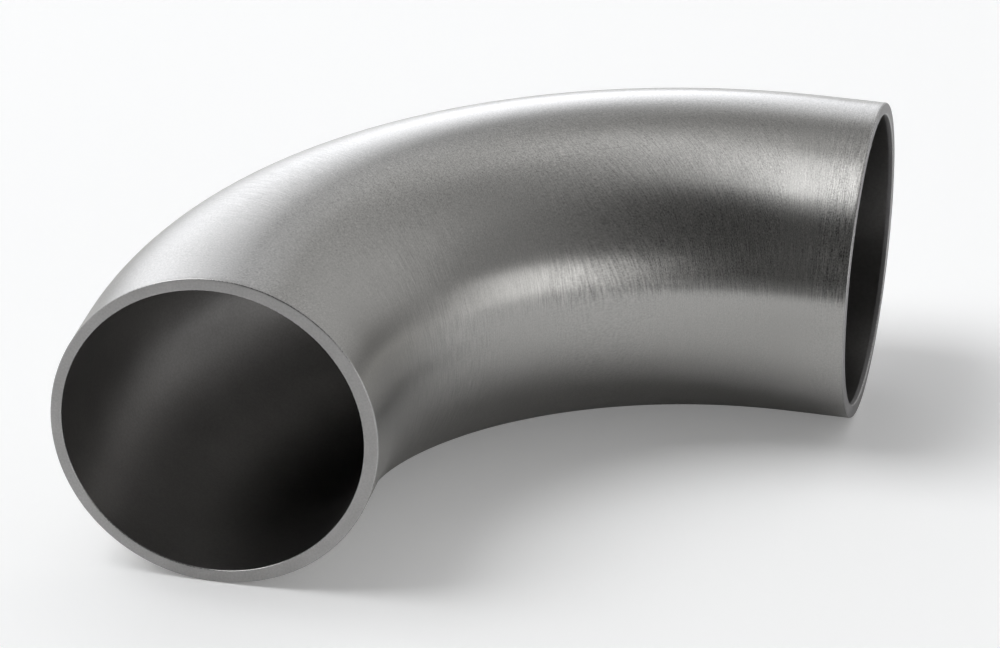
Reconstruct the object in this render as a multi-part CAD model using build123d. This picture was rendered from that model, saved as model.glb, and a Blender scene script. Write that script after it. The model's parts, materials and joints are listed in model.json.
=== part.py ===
from build123d import *

import os
from math import cos, radians, sin

# Sanitary weld bend: one length of round stainless steel tube, bent through a quarter turn.
# Each end is a short straight stretch, cut square and left plain, so that a tube of the same size
# can be butt welded to it. The bend lies on its side, with both ends in one level plane.
# Lengths are in millimetres and angles in degrees. The origin is the centre of the inlet's cut
# face. The tube leaves it along +Y and turns towards +X, where the outlet opens. +Z is up.

# The tube, as it is at both ends.
tube_od = 38.1
wall = 1.5

# The bend: the radius of the tube's centre line, and the angle that the tube turns through.
bend_radius = 57.15
bend_angle = 90.0

# The straight stretch that is left at each end for the weld.
inlet_straight = 7.5
outlet_straight = 7.5

# Bending thins the wall on the outside of the turn and thickens it on the inside, so the bore's
# centre line lies this much further from the centre of the bend than the tube's own.
bore_shift = 0.2

# The narrow slope that is left on each cut edge where the burr was taken off.
edge_break = 0.15

# The planes across the tube. On each one, z points along the tube from inlet to outlet, and x
# points to the centre of the bend.
turn = radians(bend_angle)
inlet_face = Plane(origin=(0, 0, 0), x_dir=(1, 0, 0), z_dir=(0, 1, 0))
bend_start = inlet_face.offset(inlet_straight)
bend_end = Plane(
    origin=(bend_radius * (1 - cos(turn)), inlet_straight + bend_radius * sin(turn), 0),
    x_dir=(cos(turn), -sin(turn), 0),
    z_dir=(sin(turn), cos(turn), 0),
)

# The axis that the tube turns around, seen clockwise from above.
bend_axis = Axis((bend_radius, inlet_straight, 0), (0, 0, -1))


def tube_section(plane):
    """The ring of metal across the tube, on one of the planes above."""
    outside = plane * Circle(tube_od / 2)
    bore = plane * Pos(-bore_shift, 0) * Circle(tube_od / 2 - wall)
    return outside - bore


def weld_bend():
    """The turn and its two straight ends as one solid, with its four cut edges broken."""
    turned = revolve(tube_section(bend_start), axis=bend_axis, revolution_arc=bend_angle)
    inlet = extrude(tube_section(inlet_face), amount=inlet_straight)
    outlet = extrude(tube_section(bend_end), amount=outlet_straight)
    tube = inlet + turned + outlet
    cut_edges = tube.faces().filter_by(GeomType.PLANE).edges()
    return chamfer(cut_edges, edge_break)


os.makedirs("parts", exist_ok=True)
export_step(weld_bend(), "parts/weld_bend.step")
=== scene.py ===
import json
import math

import bpy
import numpy as np
from bpy.props import FloatProperty, FloatVectorProperty, PointerProperty
from mathutils import Matrix, Vector


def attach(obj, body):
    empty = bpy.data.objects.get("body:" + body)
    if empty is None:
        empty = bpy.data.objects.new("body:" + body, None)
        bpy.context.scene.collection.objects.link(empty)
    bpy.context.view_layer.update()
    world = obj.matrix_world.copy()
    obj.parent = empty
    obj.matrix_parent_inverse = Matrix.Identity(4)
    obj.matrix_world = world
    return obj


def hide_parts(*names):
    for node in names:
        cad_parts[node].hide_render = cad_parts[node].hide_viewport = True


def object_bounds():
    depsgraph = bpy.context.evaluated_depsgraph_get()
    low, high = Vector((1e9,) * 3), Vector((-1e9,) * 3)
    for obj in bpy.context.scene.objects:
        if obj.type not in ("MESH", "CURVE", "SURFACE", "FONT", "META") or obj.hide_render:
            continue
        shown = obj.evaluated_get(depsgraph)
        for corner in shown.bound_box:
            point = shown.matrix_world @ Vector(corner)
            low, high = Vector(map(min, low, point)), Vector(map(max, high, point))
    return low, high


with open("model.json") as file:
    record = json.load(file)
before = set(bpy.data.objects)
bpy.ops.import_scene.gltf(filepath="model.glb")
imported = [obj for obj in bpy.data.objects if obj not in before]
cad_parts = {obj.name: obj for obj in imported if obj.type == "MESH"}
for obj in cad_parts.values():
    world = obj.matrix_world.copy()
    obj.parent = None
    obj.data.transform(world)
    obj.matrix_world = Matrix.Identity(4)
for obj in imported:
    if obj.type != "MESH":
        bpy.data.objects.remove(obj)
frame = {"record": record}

bl_info = {
    "name": "Sanitary weld bend",
    "version": (1, 0, 0),
    "blender": (4, 5, 0),
    "location": "View3D > Sidebar > Weld bend",
    "description": "Builds a brushed stainless weld bend on a packed frame, and a studio for it",
    "category": "Object",
}

NODE = "weld_bend"
CAD_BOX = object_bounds()
MOUNTS = {mount["name"]: mount for mount in frame["record"]["mounts"]}
MM = 0.001


def mount_size(mount, key):
    """A dimension of one of the frame's mounts, in metres."""
    return MOUNTS[mount]["dims"][key] * MM


# The tube's sizes as the frame has them. The outlet's centre lies one bend radius and one straight
# stretch away from the inlet's, along X and along Y.
OUTLET_PLACE = MOUNTS["outlet_end"]["pos_m"]
STRAIGHT = mount_size("inlet_end", "length_mm")
BEND_RADIUS = OUTLET_PLACE[0] - STRAIGHT
BORE_OFFSET = -MOUNTS["inlet_bore"]["pos_m"][0]

# How far the brush strokes lean at the two ends of the turn, as a slope against the tube's own
# round. The lean is full from this many straights away from an end, and it drops to nought between
# the other two distances, which are in straights as well.
INLET_LEAN, OUTLET_LEAN = 0.25, 0.70
FULL_LEAN = 3.5
LEAN_DROP = 0.45, 1.3

# The share of that lean that the long sheen of the metal follows.
SHEEN_LEAN = 0.10

# How strongly the brush strokes and the grain show all over the outside, and how much is added in
# each zone.
EVEN_STROKES = 0.37
STROKE_GAIN = {"start": 1.2, "last": 1.25, "saddle": 2.3, "shoulder": 1.45, "flank": 1.8}
EVEN_GRAIN = 0.36
GRAIN_GAIN = {"top": 0.28, "beyond": 0.3, "flank": 0.8, "crest": 0.35}

# The share of the strokes that the grain on the crest takes away.
CREST_LOSS = 0.8

# The shares of the stroke depth that the fine strokes, the broad strokes and the grain have.
FINE_DEPTH, BROAD_DEPTH, GRAIN_DEPTH = 0.30, 0.12, 0.12

# How far the grain and the cloudiness change the roughness of the outside, to each side.
GRAIN_SHINE, CLOUD_SHINE = 0.004, 0.005

# Depth of the fine grain on the cut faces and in the bore.
BARE_GRAIN_DEPTH = 0.006 * MM

# How much smoother the broken edges are than the cut faces beside them.
EDGE_SHINE = 0.34

# The zones of the tube's wall, in the order of the mesh's materials.
OUTSIDE, OUTLET_FACE, BORE, INLET_FACE = range(4)

# The point that the camera and the lamps face, and how far from it the lamps are.
STAGE_MIDDLE = Vector((0.0258, 0.0340, 0.00093))
LAMP_DISTANCE = 3.0

# The shares of the back level and of the fill level that two of the fainter lamps have.
STRIP_SHARE, BACK_RIGHT_SHARE = 0.2, 0.8

# Half the side of the floor, and how far it lies under the tube.
FLOOR_HALF = 6.0
FLOOR_GAP = 0.02 * MM

# Two sheets that only the metal mirrors lie this far over the floor, and meet at this place
# along Y.
CARD_RISE, CLOTH_RISE = 0.1 * MM, 1.0 * MM
SHEETS_MEET = -0.14
# The dark sheet in front is painted shade: it stands in for the unlit floor and room in front of
# the tube, and only the metal mirrors it.
CLOTH_COLOUR = (0.08, 0.08, 0.08)


# Sizes and colours that a user would change

class TubeSizes(bpy.types.PropertyGroup):
    """Sizes of the tube and of its turn"""
    outside_radius: FloatProperty(
        name="Outside radius", description="Half the tube's outside diameter",
        default=mount_size("inlet_end", "r_mm"), subtype="DISTANCE", unit="LENGTH", precision=5)
    bore_radius: FloatProperty(
        name="Bore radius", description="Half the tube's inside diameter",
        default=mount_size("inlet_bore", "r_mm"), subtype="DISTANCE", unit="LENGTH", precision=5)
    bore_offset: FloatProperty(
        name="Bore offset",
        description="How far bending has moved the bore away from the bend's centre",
        default=BORE_OFFSET, subtype="DISTANCE", unit="LENGTH", precision=5)
    bend_radius: FloatProperty(
        name="Bend radius", description="Radius of the tube's centre line in the turn",
        default=BEND_RADIUS, subtype="DISTANCE", unit="LENGTH", precision=5)
    straight: FloatProperty(
        name="Straight end", description="Straight stretch that is left at each end for the weld",
        default=STRAIGHT, subtype="DISTANCE", unit="LENGTH", precision=5)
    edge_break: FloatProperty(
        name="Edge break", description="Rounding of each cut edge where the burr was taken off",
        default=0.15 * MM, subtype="DISTANCE", unit="LENGTH", precision=5)


class SteelFinish(bpy.types.PropertyGroup):
    """Colours of the steel, and its brush strokes and grain"""
    outside_colour: FloatVectorProperty(
        name="Outside colour", description="Colour of the brushed outside",
        default=(0.425, 0.418, 0.4045), subtype="COLOR", min=0.0, max=1.0)
    # The two cut ends are one finish. Their colours differ only as painted light on the inlet's
    # face and painted shade on the outlet's face.
    inlet_face_colour: FloatVectorProperty(
        name="Inlet face colour", description="Colour of the inlet's bare cut end",
        default=(0.487, 0.479, 0.473), subtype="COLOR", min=0.0, max=1.0)
    outlet_face_colour: FloatVectorProperty(
        name="Outlet face colour", description="Colour of the outlet's bare cut end",
        default=(0.36, 0.353, 0.355), subtype="COLOR", min=0.0, max=1.0)
    edge_colour: FloatVectorProperty(
        name="Broken edge colour", description="Colour of the rounded edges beside the cut ends",
        default=(0.42, 0.415, 0.41), subtype="COLOR", min=0.0, max=1.0)
    # The bore is darker than the outside partly for its pickled finish and partly as painted shade
    # inside the tube.
    bore_colour: FloatVectorProperty(
        name="Bore colour", description="Colour of the dull inside of the tube",
        default=(0.28, 0.273, 0.267), subtype="COLOR", min=0.0, max=1.0)
    outside_roughness: FloatProperty(
        name="Outside roughness", description="Mean roughness of the brushed outside",
        default=0.285, subtype="FACTOR", min=0.0, max=1.0)
    stroke_width: FloatProperty(
        name="Stroke width", description="Width of one brush stroke",
        default=0.13 * MM, subtype="DISTANCE", unit="LENGTH", precision=5)
    stroke_length: FloatProperty(
        name="Stroke length", description="Length of one brush stroke",
        default=2.4 * MM, subtype="DISTANCE", unit="LENGTH", precision=5)
    stroke_depth: FloatProperty(
        name="Stroke depth", description="Depth of the brush strokes and of the grain between them",
        default=0.010 * MM, subtype="DISTANCE", unit="LENGTH", precision=6)
    stroke_contrast: FloatProperty(
        name="Stroke contrast", description="How much the strokes lighten and darken the metal",
        default=0.5, min=0.0)
    grain_size: FloatProperty(
        name="Grain size", description="Size of the short grain between the strokes",
        default=0.17 * MM, subtype="DISTANCE", unit="LENGTH", precision=5)
    grain_contrast: FloatProperty(
        name="Grain contrast", description="How much the grain lightens and darkens the metal",
        default=1.5, min=0.0)
    sheen: FloatProperty(
        name="Sheen", description="How far the metal's sheen is drawn out across the strokes",
        default=0.86, subtype="FACTOR", min=0.0, max=1.0)


class StudioLook(bpy.types.PropertyGroup):
    """Floor of the studio, and the levels and colours of its lamps"""
    floor_colour: FloatVectorProperty(
        name="Floor colour", description="Colour of the pale floor",
        default=(0.92, 0.92, 0.92), subtype="COLOR", min=0.0, max=1.0)
    floor_glow: FloatProperty(
        name="Floor glow", description="How far the floor is lifted towards white",
        default=0.18, min=0.0)
    key_colour: FloatVectorProperty(
        name="Key colour", description="Colour of the softbox high on the left",
        default=(0.98, 0.99, 1.0), subtype="COLOR", min=0.0, max=1.0)
    back_colour: FloatVectorProperty(
        name="Back colour",
        description="Colour of the panel behind the stage and of the strip beside it",
        default=(0.93, 0.95, 1.0), subtype="COLOR", min=0.0, max=1.0)
    light_level: FloatProperty(
        name="Light level", description="Brightness of the whole studio",
        default=1.2, min=0.0)
    room_level: FloatProperty(
        name="Room level", description="Brightness of the even room around the stage",
        default=0.292, min=0.0)
    dark_level: FloatProperty(
        name="Dark level", description="Brightness of the room's dark side",
        default=0.036, min=0.0)
    key_level: FloatProperty(
        name="Key level", description="Brightness of the softbox high on the left",
        default=3.66, min=0.0)
    left_level: FloatProperty(
        name="Left level", description="Brightness of the wide low panel on the left",
        default=0.34, min=0.0)
    back_level: FloatProperty(
        name="Back level",
        description="Brightness of the panel behind the stage and of the strip beside it",
        default=2.02, min=0.0)
    right_level: FloatProperty(
        name="Right level", description="Brightness of the low softbox on the right",
        default=1.12, min=0.0)
    fill_level: FloatProperty(
        name="Fill level",
        description="Brightness of the faint panels above, and behind on the right",
        default=0.36, min=0.0)


# Shape of the tube

def centre_line(distance, tube):
    """Points of the tube's centre line, the unit vectors from there to the bend's centre and the
    unit vectors along the tube, at distances from the inlet's cut face.

    Straight on along +Y for the straight stretch, then a circle of the bend radius towards +X, and
    straight on along +X. The turn at a distance is the length past the first straight over the
    bend radius, held between nought and a quarter circle.
    """
    quarter = math.pi / 2
    arc = tube.bend_radius * quarter
    past = distance - tube.straight
    turn = np.clip(past / tube.bend_radius, 0.0, quarter)
    flat = np.zeros_like(turn)
    inward = np.stack([np.cos(turn), -np.sin(turn), flat], -1)
    along = np.stack([np.sin(turn), np.cos(turn), flat], -1)
    bow = np.stack([tube.bend_radius * (1 - np.cos(turn)),
                    tube.straight + tube.bend_radius * np.sin(turn), flat], -1)
    run = np.minimum(past, 0.0) + np.maximum(past - arc, 0.0)
    return bow + run[:, None] * along, inward, along


def wall_profile(tube, rows_along, rows_round, rows_face):
    """The tube's wall as a closed line of rows, out along the outside and back through the bore.

    Each row has its distance along the tube, its radius, how far its centre lies outside the
    centre line, its zone and how far it is on a broken edge. Such an edge is a quarter circle: its
    distance and radius follow the sine and cosine of an angle.
    """
    length = 2 * tube.straight + tube.bend_radius * math.pi / 2
    edge, outer, bore = tube.edge_break, tube.outside_radius, tube.bore_radius
    angle = np.linspace(0.0, math.pi / 2, rows_round)
    run = np.linspace(edge, length - edge, rows_along)
    down = np.linspace(outer - edge, bore + edge, rows_face)
    share = np.linspace(0.0, 1.0, rows_face)
    on_edge = np.sin(2 * angle)

    def rows(distance, radius, offset, zone, edge_share=0.0):
        """Rows of the profile, where a single number holds for all of them."""
        parts = np.broadcast_arrays(distance, radius, offset * tube.bore_offset, float(zone),
                                    edge_share)
        return np.stack(parts, -1)

    # Each stretch leaves out its first row, which is the last row of the stretch before it.
    outlet = [
        rows(length - edge + edge * np.sin(angle), outer - edge + edge * np.cos(angle), 0.0,
             OUTLET_FACE, on_edge)[1:],
        rows(length, down, share, OUTLET_FACE)[1:],
        rows(length - edge + edge * np.cos(angle), bore + edge - edge * np.sin(angle), 1.0,
             OUTLET_FACE, on_edge)[1:],
    ]
    inlet = [
        rows(edge - edge * np.sin(angle), bore + edge - edge * np.cos(angle), 1.0, INLET_FACE,
             on_edge)[1:],
        rows(0.0, down[::-1], share[::-1], INLET_FACE)[1:],
        rows(edge - edge * np.cos(angle), outer - edge + edge * np.sin(angle), 0.0, INLET_FACE,
             on_edge)[1:-1],
    ]
    outside = rows(run, outer, 0.0, OUTSIDE)
    inside = rows(run[::-1], bore, 1.0, BORE)[1:]
    return np.concatenate([outside, *outlet, inside, *inlet])


def tube_mesh(tube, rows_along=240, rows_round=6, rows_face=7, columns=192):
    """The whole tube as one closed surface of two parameters: the row of the wall's profile, and
    the angle around the tube.

    point = centre line + inward * (radius * cos(angle) - offset) + up * radius * sin(angle)
    """
    profile = wall_profile(tube, rows_along, rows_round, rows_face)
    distance, radius, offset, zone, on_edge = profile.T
    centre, inward, along = centre_line(distance, tube)
    angle = np.arange(columns) / columns * 2 * math.pi
    up = np.array([0.0, 0.0, 1.0])
    across = radius[:, None] * np.cos(angle) - offset[:, None]
    rise = radius[:, None] * np.sin(angle)
    points = centre[:, None] + across[..., None] * inward[:, None] + rise[..., None] * up

    rows = len(profile)
    row, column = np.meshgrid(np.arange(rows), np.arange(columns), indexing="ij")
    next_row, next_column = (row + 1) % rows, (column + 1) % columns
    corners = np.stack([row * columns + column, row * columns + next_column,
                        next_row * columns + next_column, next_row * columns + column], -1)
    mesh = bpy.data.meshes.new("weld_bend_tube")
    mesh.from_pydata(points.reshape(-1, 3).tolist(), [], corners.reshape(-1, 4).tolist())
    mesh.polygons.foreach_set("use_smooth", np.ones(rows * columns, bool))

    # A face belongs to a cut end if either of its rows does.
    face_zone = np.where(zone == OUTSIDE, np.roll(zone, -1), zone)
    for end in (OUTLET_FACE, INLET_FACE):
        face_zone[(zone == end) | (np.roll(zone, -1) == end)] = end
    mesh.polygons.foreach_set("material_index", np.repeat(face_zone, columns).astype(np.int32))

    # The map runs along the wall's profile, by its length, and around the tube.
    line = np.stack([distance, radius], -1)
    step = np.linalg.norm(np.diff(line, axis=0, append=line[:1]), axis=1)
    walked = np.concatenate([[0.0], np.cumsum(step)])
    uv = mesh.uv_layers.new(name="tube_wall")
    u = np.stack([walked[row], walked[row], walked[row + 1], walked[row + 1]], -1)
    v = np.stack([column, column + 1, column + 1, column], -1) / columns
    uv.data.foreach_set("uv", np.stack([u / walked[-1], v], -1).ravel().astype(np.float32))

    place, across_strokes = stroke_layout(distance, radius, angle, inward, along, tube)
    add_point_vector(mesh, "stroke_place", place)
    add_point_vector(mesh, "across_strokes", across_strokes)
    for name, strength in zip(("stroke_strength", "grain_strength"),
                              stroke_strength(distance, angle, tube)):
        add_point_value(mesh, name, strength.ravel())
    add_point_value(mesh, "broken_edge", np.repeat(on_edge, columns))
    mesh.validate()
    return mesh


def stroke_layout(distance, radius, angle, inward, along, tube):
    """Where each point lies among the brush strokes, and the direction on the skin across them.

    The turn was brushed in planes that lean over at its two ends, because the belt stayed nearer to
    square with the middle of the turn. With a lean k, a stroke is the line on which
    distance - k * radius * cos(angle) stays the same. k grows from the middle of the turn towards
    each end, and drops to nought over the last of the straight, which was brushed on its own.
    The place is (radius * cos(angle), radius * sin(angle), that line), so that noise in it has no
    seam around the tube.
    """
    length = distance.max()
    middle = length / 2
    full = FULL_LEAN * tube.straight
    lean = OUTLET_LEAN * smooth_step(distance, middle, length - full)
    lean = lean - INLET_LEAN * smooth_step(-distance, -middle, -full)
    from_end = np.minimum(distance, length - distance)
    lean = lean * smooth_step(from_end / tube.straight, *LEAN_DROP)
    cosine, sine = np.cos(angle), np.sin(angle)
    line = distance[:, None] - (lean * radius)[:, None] * cosine
    place = np.stack([radius[:, None] * cosine, radius[:, None] * sine, line], -1)
    up = np.array([0.0, 0.0, 1.0])
    around = -sine[:, None] * inward[:, None] + cosine[:, None] * up
    across = along[:, None] + (SHEEN_LEAN * lean[:, None] * sine)[..., None] * around
    return place, across / np.linalg.norm(across, axis=-1, keepdims=True)


def stroke_strength(distance, angle, tube):
    """How strongly the brush strokes and the grain show at each point, as two sheets of numbers.

    The strokes are deeper where the turn begins, in the last of the straight at the outlet, along
    the inside of the turn, a little above its level plane, and on the flank and the shoulder above
    that towards the outlet. The grain is rougher on the top, more so towards the outlet, and most
    on that flank. On the crest near the inlet it takes the place of the strokes. A zone is a smooth
    step or hump of the distance, in straights or as a share of the tube's length, times one of the
    angle above the level plane, in radians.
    """
    length = distance.max()
    along = distance[:, None] / tube.straight
    to_outlet = (length - distance[:, None]) / tube.straight
    share = distance[:, None] / length
    above = (angle + math.pi) % (2 * math.pi) - math.pi

    upper = smooth_hump(above, 0.05, 0.25, 2.1, 3.1)
    crest = (1 - smooth_step(along, 7.5, 9.5)) * smooth_hump(above, 0.85, 1.1, 1.4, 1.6)
    beyond = smooth_step(share, 0.45, 0.75)
    flank = smooth_step(share, 0.6, 0.8) * smooth_hump(above, 0.15, 0.3, 0.6, 0.9)
    stroke_zones = {
        "start": smooth_hump(along, 1.5, 3.0, 4.5, 6.5) * (1 - CREST_LOSS * crest),
        "last": (1 - smooth_step(to_outlet, 0.3, 1.0)) * upper,
        "saddle": smooth_step(along, 5.5, 8.0) * smooth_hump(above, 0.08, 0.2, 0.35, 0.6),
        "shoulder": beyond * smooth_hump(above, 0.55, 0.8, 1.1, 1.4),
        "flank": flank * smooth_step(above, 0.3, 0.5)}
    grain_zones = {
        "top": smooth_step(above, 0.3, 0.9) * upper,
        "beyond": beyond * upper,
        "flank": flank,
        "crest": crest}
    strokes = EVEN_STROKES + sum(STROKE_GAIN[name] * zone for name, zone in stroke_zones.items())
    grain = EVEN_GRAIN + sum(GRAIN_GAIN[name] * zone for name, zone in grain_zones.items())
    return strokes, grain


def smooth_step(value, start, end):
    """0 up to start, 1 from end on, and 3t² - 2t³ between them."""
    t = np.clip((value - start) / (end - start), 0.0, 1.0)
    return t * t * (3 - 2 * t)


def smooth_hump(value, start, full, ebb, end):
    """A smooth step up from start to full, and one down again from ebb to end."""
    return smooth_step(value, start, full) * (1 - smooth_step(value, ebb, end))


def add_point_vector(mesh, name, values):
    """Stores a vector at each point."""
    layer = mesh.attributes.new(name, "FLOAT_VECTOR", "POINT")
    layer.data.foreach_set("vector", values.ravel().astype(np.float32))


def add_point_value(mesh, name, values):
    """Stores a number at each point."""
    layer = mesh.attributes.new(name, "FLOAT", "POINT")
    layer.data.foreach_set("value", values.ravel().astype(np.float32))


# Small helpers for shader nodes

def add_node(tree, kind, inputs=None, **settings):
    """Adds a node, sets its plain settings, and sets or links its inputs by name or number."""
    node = tree.nodes.new(kind)
    for name, value in settings.items():
        setattr(node, name, value)
    for key, value in (inputs or {}).items():
        socket = node.inputs[key]
        if isinstance(value, bpy.types.NodeSocket):
            tree.links.new(value, socket)
        else:
            socket.default_value = value
    return node


def maths(tree, operation, *values, clamp=False):
    """The result of a Math node."""
    return add_node(tree, "ShaderNodeMath", dict(enumerate(values)), operation=operation,
                    use_clamp=clamp).outputs[0]


def remap(tree, value, low, high, new_low, new_high, smooth=True):
    """A value moved from one range to another, held at both ends."""
    return add_node(tree, "ShaderNodeMapRange",
                    {"Value": value, "From Min": low, "From Max": high, "To Min": new_low,
                     "To Max": new_high},
                    interpolation_type="SMOOTHSTEP" if smooth else "LINEAR").outputs["Result"]


def attribute(tree, name, output):
    """A value that is stored on the piece's points."""
    return add_node(tree, "ShaderNodeAttribute", attribute_name=name).outputs[output]


def noise(tree, vector, scale, detail, roughness):
    """Noise from 0 to 1 at a point."""
    return add_node(tree, "ShaderNodeTexNoise",
                    {"Vector": vector, "Scale": scale, "Detail": detail, "Roughness": roughness},
                    noise_dimensions="3D").outputs["Fac"]


def shaded(tree, colour, light):
    """A colour multiplied by a value."""
    return add_node(tree, "ShaderNodeVectorMath", {0: colour, "Scale": light},
                    operation="SCALE").outputs[0]


def bump(tree, height, depth):
    """The normals of a height that is given as a share of its depth."""
    return add_node(tree, "ShaderNodeBump",
                    {"Strength": 1.0, "Distance": depth, "Height": height}).outputs[0]


def new_group(name, inputs, outputs):
    """An empty shader node group, and the sockets of its input and output nodes.

    Inputs are (name, socket type, default) and outputs are (name, socket type).
    """
    group = bpy.data.node_groups.new(name, "ShaderNodeTree")
    for label, kind, default in inputs:
        group.interface.new_socket(label, in_out="INPUT", socket_type=kind).default_value = default
    for label, kind in outputs:
        group.interface.new_socket(label, in_out="OUTPUT", socket_type=kind)
    given, result = group.nodes.new("NodeGroupInput"), group.nodes.new("NodeGroupOutput")
    return group, given.outputs, result.inputs


def use_group(tree, group, inputs):
    """Places a node group in a material."""
    return add_node(tree, "ShaderNodeGroup", inputs, node_tree=group).outputs


# Node groups that several of the steel's finishes share

def stroke_group():
    """Node group: long thin noise that follows the brush strokes, from 0 to 1.

    The place's third part runs across the strokes and is divided by their width. The other two run
    around the tube and are divided by their length.
    """
    group, given, result = new_group(
        "Brush strokes",
        [("Width", "NodeSocketFloat", 0.0002), ("Length", "NodeSocketFloat", 0.005),
         ("Shift", "NodeSocketFloat", 0.0)],
        [("Height", "NodeSocketFloat")])
    spot = add_node(group, "ShaderNodeSeparateXYZ",
                    {0: attribute(group, "stroke_place", "Vector")}).outputs
    around = [maths(group, "ADD", maths(group, "DIVIDE", part, given["Length"]), given["Shift"])
              for part in (spot["X"], spot["Y"])]
    across = maths(group, "DIVIDE", spot["Z"], given["Width"])
    place = add_node(group, "ShaderNodeCombineXYZ", {0: around[0], 1: around[1], 2: across})
    group.links.new(noise(group, place.outputs[0], 1.0, 2.0, 0.6), result["Height"])
    return group


def cloud_group():
    """Node group: a soft uneven cloudiness, as of handling and pickling, from 0 to 1.

    Noise of a given size, whose distance from its middle is multiplied by the contrast.
    """
    group, given, result = new_group(
        "Cloudiness",
        [("Size", "NodeSocketFloat", 0.01), ("Contrast", "NodeSocketFloat", 1.0),
         ("Detail", "NodeSocketFloat", 3.0)],
        [("Mask", "NodeSocketFloat")])
    place = add_node(group, "ShaderNodeTexCoord").outputs["Object"]
    cloud = noise(group, place, maths(group, "DIVIDE", 1.0, given["Size"]), given["Detail"], 0.55)
    swing = maths(group, "MULTIPLY", maths(group, "SUBTRACT", cloud, 0.5), given["Contrast"])
    group.links.new(maths(group, "ADD", swing, 0.5, clamp=True), result["Mask"])
    return group


# Finishes of the steel

def new_material(name):
    """An empty material and its node tree."""
    material = bpy.data.materials.new(name)
    material.use_nodes = True
    material.node_tree.nodes.clear()
    return material, material.node_tree


def finish_material(tree, shader_inputs):
    """Adds the metal's shader and joins it to the material's output."""
    shader = add_node(tree, "ShaderNodeBsdfPrincipled", {"Metallic": 1.0, **shader_inputs})
    add_node(tree, "ShaderNodeOutputMaterial", {"Surface": shader.outputs[0]})


def brushed_outside(finish, strokes, clouds):
    """Material: the brushed outside.

    Fine and broad strokes and the grain give its height. The fine strokes and the grain lighten and
    darken it, as strongly as the points say, and the grain and a broad cloudiness change its shine.
    """
    material, tree = new_material("brushed_outside")
    width, length, size = finish.stroke_width, finish.stroke_length, finish.grain_size
    fine = use_group(tree, strokes, {"Width": width, "Length": length})["Height"]
    broad = use_group(tree, strokes, {"Width": 3 * width, "Length": 3 * length,
                                      "Shift": 7.3})["Height"]
    grain = use_group(tree, strokes, {"Width": 0.85 * size, "Length": 1.3 * size,
                                      "Shift": 3.1})["Height"]
    cloud = use_group(tree, clouds, {"Size": 18 * MM, "Contrast": 1.2})["Mask"]

    lines = maths(tree, "MULTIPLY_ADD", fine, FINE_DEPTH,
                  maths(tree, "MULTIPLY", broad, BROAD_DEPTH))
    height = maths(tree, "MULTIPLY_ADD", grain, GRAIN_DEPTH, lines)
    shine = maths(tree, "ADD", remap(tree, grain, 0.3, 0.7, -GRAIN_SHINE, GRAIN_SHINE),
                  remap(tree, cloud, 0.0, 1.0, -CLOUD_SHINE, CLOUD_SHINE))
    streaks = maths(tree, "MULTIPLY", maths(tree, "SUBTRACT", fine, 0.5),
                    attribute(tree, "stroke_strength", "Fac"))
    specks = maths(tree, "MULTIPLY", maths(tree, "SUBTRACT", grain, 0.5),
                   attribute(tree, "grain_strength", "Fac"))
    light = maths(tree, "MULTIPLY_ADD", streaks, finish.stroke_contrast,
                  maths(tree, "MULTIPLY_ADD", specks, finish.grain_contrast, 1.0))
    finish_material(tree, {
        "Base Color": shaded(tree, tuple(finish.outside_colour), light),
        "Roughness": maths(tree, "ADD", shine, finish.outside_roughness),
        "Anisotropic": finish.sheen, "Tangent": attribute(tree, "across_strokes", "Vector"),
        "Normal": bump(tree, height, finish.stroke_depth)})
    return material


def cut_face(finish, clouds, name, face_colour):
    """Material: a bare cut end. The face is matt, and its broken edges are smoother. The two ends
    get lit and shaded copies of this finish: the inlet's face colour is lighter as painted light,
    and the outlet's is darker as painted shade.
    """
    material, tree = new_material(name)
    grain = use_group(tree, clouds, {"Size": 0.25 * MM, "Contrast": 1.4})["Mask"]
    broad = use_group(tree, clouds, {"Size": 4 * MM, "Contrast": 1.2})["Mask"]
    mixed = maths(tree, "ADD", maths(tree, "MULTIPLY", grain, 0.6),
                  maths(tree, "MULTIPLY", broad, 0.4))
    edge = attribute(tree, "broken_edge", "Fac")
    steel = add_node(tree, "ShaderNodeMix", {"Factor": edge, 6: (*face_colour, 1.0),
                                             7: (*finish.edge_colour, 1.0)}, data_type="RGBA")
    matt = remap(tree, mixed, 0.3, 0.7, 0.56, 0.64)
    finish_material(tree, {
        "Base Color": shaded(tree, steel.outputs[2], remap(tree, mixed, 0.3, 0.7, 0.90, 1.10)),
        "Roughness": maths(tree, "MULTIPLY_ADD", edge, -EDGE_SHINE, matt),
        "Normal": bump(tree, grain, BARE_GRAIN_DEPTH)})
    return material


def dull_bore(finish, clouds):
    """Material: the pickled inside of the tube, dull and softly mottled. Its colour is darker than
    the outside partly for the pickled finish and partly as painted shade inside the tube.
    """
    material, tree = new_material("dull_bore")
    grain = use_group(tree, clouds, {"Size": 0.3 * MM, "Contrast": 1.2})["Mask"]
    cloud = use_group(tree, clouds, {"Size": 12 * MM, "Contrast": 1.2})["Mask"]
    light = maths(tree, "MULTIPLY", remap(tree, cloud, 0.2, 0.8, 0.92, 1.08),
                  remap(tree, grain, 0.2, 0.8, 0.92, 1.08))
    finish_material(tree, {
        "Base Color": shaded(tree, tuple(finish.bore_colour), light),
        "Roughness": remap(tree, cloud, 0.2, 0.8, 0.30, 0.34),
        "Normal": bump(tree, grain, BARE_GRAIN_DEPTH)})
    return material


# The stage

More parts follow.
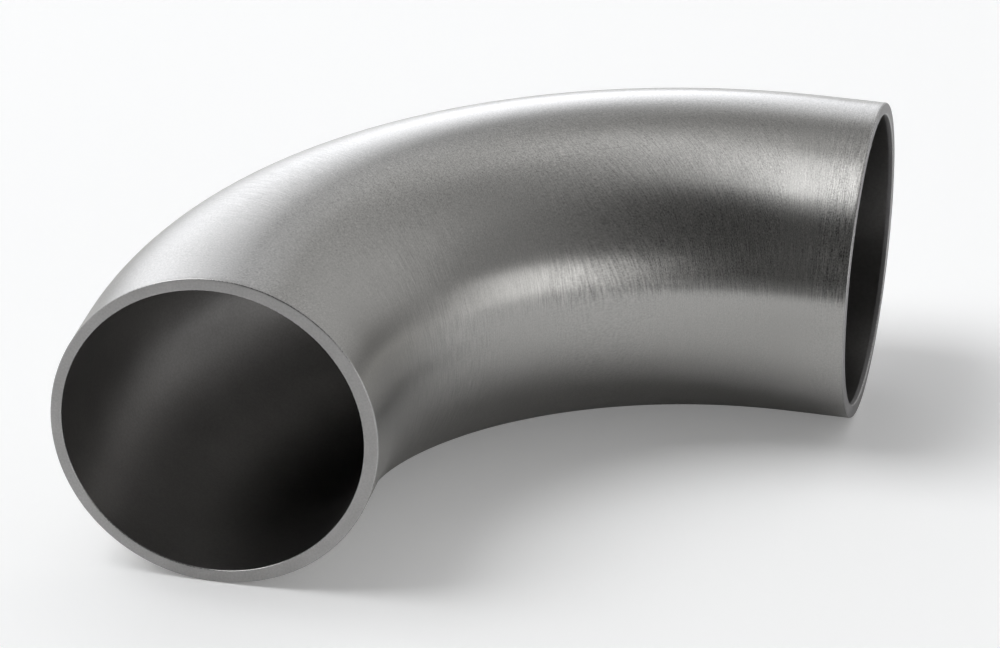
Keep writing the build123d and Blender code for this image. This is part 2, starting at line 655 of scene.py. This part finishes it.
def plain_material(name, colour, glow=0.0):
    """Material for the stage: a plain matt colour.

    The glow lifts it towards white for the camera, and for what mirrors it, but lights nothing.
    """
    material, tree = new_material(name)
    matt = add_node(tree, "ShaderNodeBsdfDiffuse", {"Color": (*colour, 1.0)})
    path = add_node(tree, "ShaderNodeLightPath").outputs
    seen = maths(tree, "MAXIMUM", path["Is Camera Ray"],
                 maths(tree, "MAXIMUM", path["Is Glossy Ray"], path["Is Transmission Ray"]))
    lift = add_node(tree, "ShaderNodeEmission", {"Strength": maths(tree, "MULTIPLY", seen, glow)})
    surface = add_node(tree, "ShaderNodeAddShader", {0: matt.outputs[0], 1: lift.outputs[0]})
    add_node(tree, "ShaderNodeOutputMaterial", {"Surface": surface.outputs[0]})
    return material


def stage_sheet(name, x_range, y_range, height, material):
    """A level rectangle of the stage, over a range along X and one along Y."""
    (left, right), (front, back) = x_range, y_range
    mesh = bpy.data.meshes.new(name)
    mesh.from_pydata([(left, front, height), (right, front, height), (right, back, height),
                      (left, back, height)], [], [(0, 1, 2, 3)])
    mesh.materials.append(material)
    sheet = bpy.data.objects.new(name, mesh)
    bpy.context.scene.collection.objects.link(sheet)
    return sheet


def mirrored_sheet(name, x_range, y_range, height, colour):
    """A sheet of the stage that is seen only where the metal mirrors it."""
    sheet = stage_sheet(name, x_range, y_range, height, plain_material(name, colour))
    sheet.visible_camera = sheet.visible_diffuse = sheet.visible_shadow = False


def softbox(name, azimuth, elevation, half_size, fade, level, colour=(1.0, 1.0, 1.0)):
    """An area lamp that faces the stage, with edges that fade out.

    Half its size and the width of its fade are given across and up, each over its distance. From
    the middle outwards it is at its level up to half_size - fade, and dark from half_size + fade.
    Its power is level * pi * area.
    """
    lamp = bpy.data.lights.new(name, "AREA")
    lamp.shape = "RECTANGLE"
    lamp.size, lamp.size_y = (2 * LAMP_DISTANCE * (half + soft)
                              for half, soft in zip(half_size, fade))
    lamp.energy = level * math.pi * lamp.size * lamp.size_y
    lamp.color = colour
    lamp.use_nodes = True
    tree = lamp.node_tree
    spot = add_node(tree, "ShaderNodeSeparateXYZ",
                    {0: add_node(tree, "ShaderNodeNewGeometry").outputs["Parametric"]}).outputs
    shares = []
    for axis, half, soft in zip((0, 1), half_size, fade):
        out = maths(tree, "ABSOLUTE", maths(tree, "MULTIPLY_ADD", spot[axis], 2.0, -1.0))
        shares.append(remap(tree, out, (half - soft) / (half + soft), 1.0, 1.0, 0.0))
    glow = tree.nodes["Emission"]
    tree.links.new(maths(tree, "MULTIPLY", *shares), glow.inputs["Strength"])
    box = bpy.data.objects.new(name, lamp)
    bpy.context.scene.collection.objects.link(box)
    box.location = STAGE_MIDDLE + LAMP_DISTANCE * direction(azimuth, elevation)
    box.rotation_mode = "QUATERNION"
    box.rotation_quaternion = (STAGE_MIDDLE - box.location).to_track_quat("-Z", "Y")
    box.visible_camera = False


def room_light(level, dark_level, azimuth, elevation, half_size, fade):
    """The even light of the room, with a dark side that fades out around its middle.

    A direction's place on the dark side is its part across and its part up, each over its part
    towards the dark side's middle, which is held at 0.05 or more.
    """
    world = bpy.data.worlds.new("room")
    world.use_nodes = True
    tree = world.node_tree
    ahead = direction(azimuth, elevation)
    across = direction(azimuth + 90, 0)
    up = across.cross(ahead)
    way = add_node(tree, "ShaderNodeTexCoord").outputs["Generated"]

    def part(axis):
        """A direction's part along an axis."""
        return add_node(tree, "ShaderNodeVectorMath", {0: way, 1: axis},
                        operation="DOT_PRODUCT").outputs["Value"]

    depth = maths(tree, "MAXIMUM", part(ahead), 0.05)
    shares = [remap(tree, maths(tree, "ABSOLUTE", maths(tree, "DIVIDE", part(axis), depth)),
                    half - soft, half + soft, 1.0, 0.0)
              for axis, half, soft in zip((across, up), half_size, fade)]
    dark = maths(tree, "MULTIPLY", *shares)
    glow = tree.nodes["Background"]
    glow.inputs["Color"].default_value = (1.0, 1.0, 1.0, 1.0)
    tree.links.new(remap(tree, dark, 0.0, 1.0, level, dark_level, smooth=False),
                   glow.inputs["Strength"])
    return world


def direction(azimuth, elevation):
    """The unit vector at an azimuth, from +Y towards +X, and an elevation, both in degrees."""
    a, e = math.radians(azimuth), math.radians(elevation)
    return Vector((math.sin(a) * math.cos(e), math.cos(a) * math.cos(e), math.sin(e)))


def photo_camera():
    """The camera that took the photograph, as fitted to the tube's outline."""
    azimuth, elevation, roll, distance = 168.904, 25.962, 1.866, 0.7291
    data = bpy.data.cameras.new("photo_camera")
    data.lens, data.sensor_width = 225.0, 36.0
    data.clip_start, data.clip_end = 0.01, 50.0
    camera = bpy.data.objects.new("photo_camera", data)
    bpy.context.scene.collection.objects.link(camera)
    away = direction(azimuth, elevation)
    level = (-away).to_track_quat("-Z", "Y").to_matrix()
    turned = level @ Matrix.Rotation(math.radians(roll), 3, "Z")
    camera.matrix_world = (Matrix.Translation(STAGE_MIDDLE + distance * away)
                           @ turned.to_4x4())
    bpy.context.scene.camera = camera


# Operators and the panel

class OBJECT_OT_weld_bend_tube(bpy.types.Operator):
    """Builds the bent tube with its brushed outside, cut faces and dull bore"""
    bl_idname = "object.weld_bend_tube"
    bl_label = "Weld bend tube"

    def execute(self, context):
        scene = context.scene
        mesh = tube_mesh(scene.tube_sizes)
        finish, strokes, clouds = scene.steel_finish, stroke_group(), cloud_group()
        # The ends take lit and shaded copies of the cut face: painted light at the inlet, painted
        # shade at the outlet.
        made = {OUTSIDE: brushed_outside(finish, strokes, clouds),
                OUTLET_FACE: cut_face(finish, clouds, "outlet_face", finish.outlet_face_colour),
                BORE: dull_bore(finish, clouds),
                INLET_FACE: cut_face(finish, clouds, "inlet_face", finish.inlet_face_colour)}
        for zone in sorted(made):
            mesh.materials.append(made[zone])
        tube = bpy.data.objects.new("weld_bend_tube", mesh)
        scene.collection.objects.link(tube)
        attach(tube, "root")
        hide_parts(NODE)
        return {"FINISHED"}


class SCENE_OT_weld_bend_studio(bpy.types.Operator):
    """Builds the pale floor, the soft studio light and the camera"""
    bl_idname = "scene.weld_bend_studio"
    bl_label = "Weld bend studio"

    def execute(self, context):
        look = context.scene.studio_look
        low = CAD_BOX[0].z - FLOOR_GAP
        stage_sheet("floor", (-FLOOR_HALF, FLOOR_HALF), (-FLOOR_HALF, FLOOR_HALF), low,
                    plain_material("pale_floor", look.floor_colour, look.floor_glow))

        level = look.light_level
        softbox("key_softbox", azimuth=-101, elevation=56, half_size=(0.335, 0.30),
                fade=(0.03, 0.08), level=level * look.key_level, colour=look.key_colour)
        softbox("left_panel", azimuth=-101, elevation=8, half_size=(1.10, 0.43),
                fade=(0.30, 0.31), level=level * look.left_level)
        softbox("back_panel", azimuth=-25, elevation=5, half_size=(0.35, 0.36),
                fade=(0.17, 0.35), level=level * look.back_level, colour=look.back_colour)
        softbox("back_strip", azimuth=2, elevation=30, half_size=(0.09, 0.12),
                fade=(0.05, 0.08), level=STRIP_SHARE * level * look.back_level,
                colour=look.back_colour)
        softbox("right_softbox", azimuth=111, elevation=1, half_size=(0.45, 0.28),
                fade=(0.35, 0.05), level=level * look.right_level)
        softbox("top_panel", azimuth=-67, elevation=81, half_size=(0.57, 0.22),
                fade=(0.26, 0.12), level=level * look.fill_level)
        softbox("back_right_panel", azimuth=34, elevation=17, half_size=(0.57, 0.58),
                fade=(0.18, 0.15), level=BACK_RIGHT_SHARE * level * look.fill_level)
        context.scene.world = room_light(
            level=level * look.room_level, dark_level=level * look.dark_level, azimuth=178,
            elevation=20, half_size=(1.07, 1.44), fade=(1.05, 0.64))

        # The metal mirrors a dark sheet in front of it, painted shade that stands in for the unlit
        # floor and room there, and under it the floor without its glow.
        mirrored_sheet("painted_shade_sheet", (-1.2, 0.35), (-1.2, SHEETS_MEET), low + CLOTH_RISE,
                       CLOTH_COLOUR)
        mirrored_sheet("floor_card", (-0.6, 0.7), (SHEETS_MEET, 0.6), low + CARD_RISE,
                       look.floor_colour)
        photo_camera()
        context.scene.view_settings.view_transform = "Standard"
        return {"FINISHED"}


class VIEW3D_PT_weld_bend(bpy.types.Panel):
    """Lists the sizes, colours and operators of the weld bend"""
    bl_label = "Weld bend"
    bl_idname = "VIEW3D_PT_weld_bend"
    bl_space_type = "VIEW_3D"
    bl_region_type = "UI"
    bl_category = "Weld bend"

    def draw(self, context):
        for settings, operator in PANEL_ROWS:
            box = self.layout.box()
            for name in settings:
                group = getattr(context.scene, name)
                for key in group.__annotations__:
                    box.prop(group, key)
            box.operator(operator)


PANEL_ROWS = (
    (("tube_sizes", "steel_finish"), OBJECT_OT_weld_bend_tube.bl_idname),
    (("studio_look",), SCENE_OT_weld_bend_studio.bl_idname),
)
SETTINGS = {"tube_sizes": TubeSizes, "steel_finish": SteelFinish, "studio_look": StudioLook}
CLASSES = (TubeSizes, SteelFinish, StudioLook, OBJECT_OT_weld_bend_tube, SCENE_OT_weld_bend_studio,
           VIEW3D_PT_weld_bend)


def register():
    """Adds the classes to Blender, and the settings to its scenes."""
    for made in CLASSES:
        bpy.utils.register_class(made)
    for name, group in SETTINGS.items():
        setattr(bpy.types.Scene, name, PointerProperty(type=group))


def unregister():
    """Takes them out again."""
    for name in SETTINGS:
        delattr(bpy.types.Scene, name)
    for made in reversed(CLASSES):
        bpy.utils.unregister_class(made)


def main():
    """Registers the add-on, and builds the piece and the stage."""
    register()
    bpy.ops.object.weld_bend_tube()
    bpy.ops.scene.weld_bend_studio()


if __name__ == "__main__":
    main()
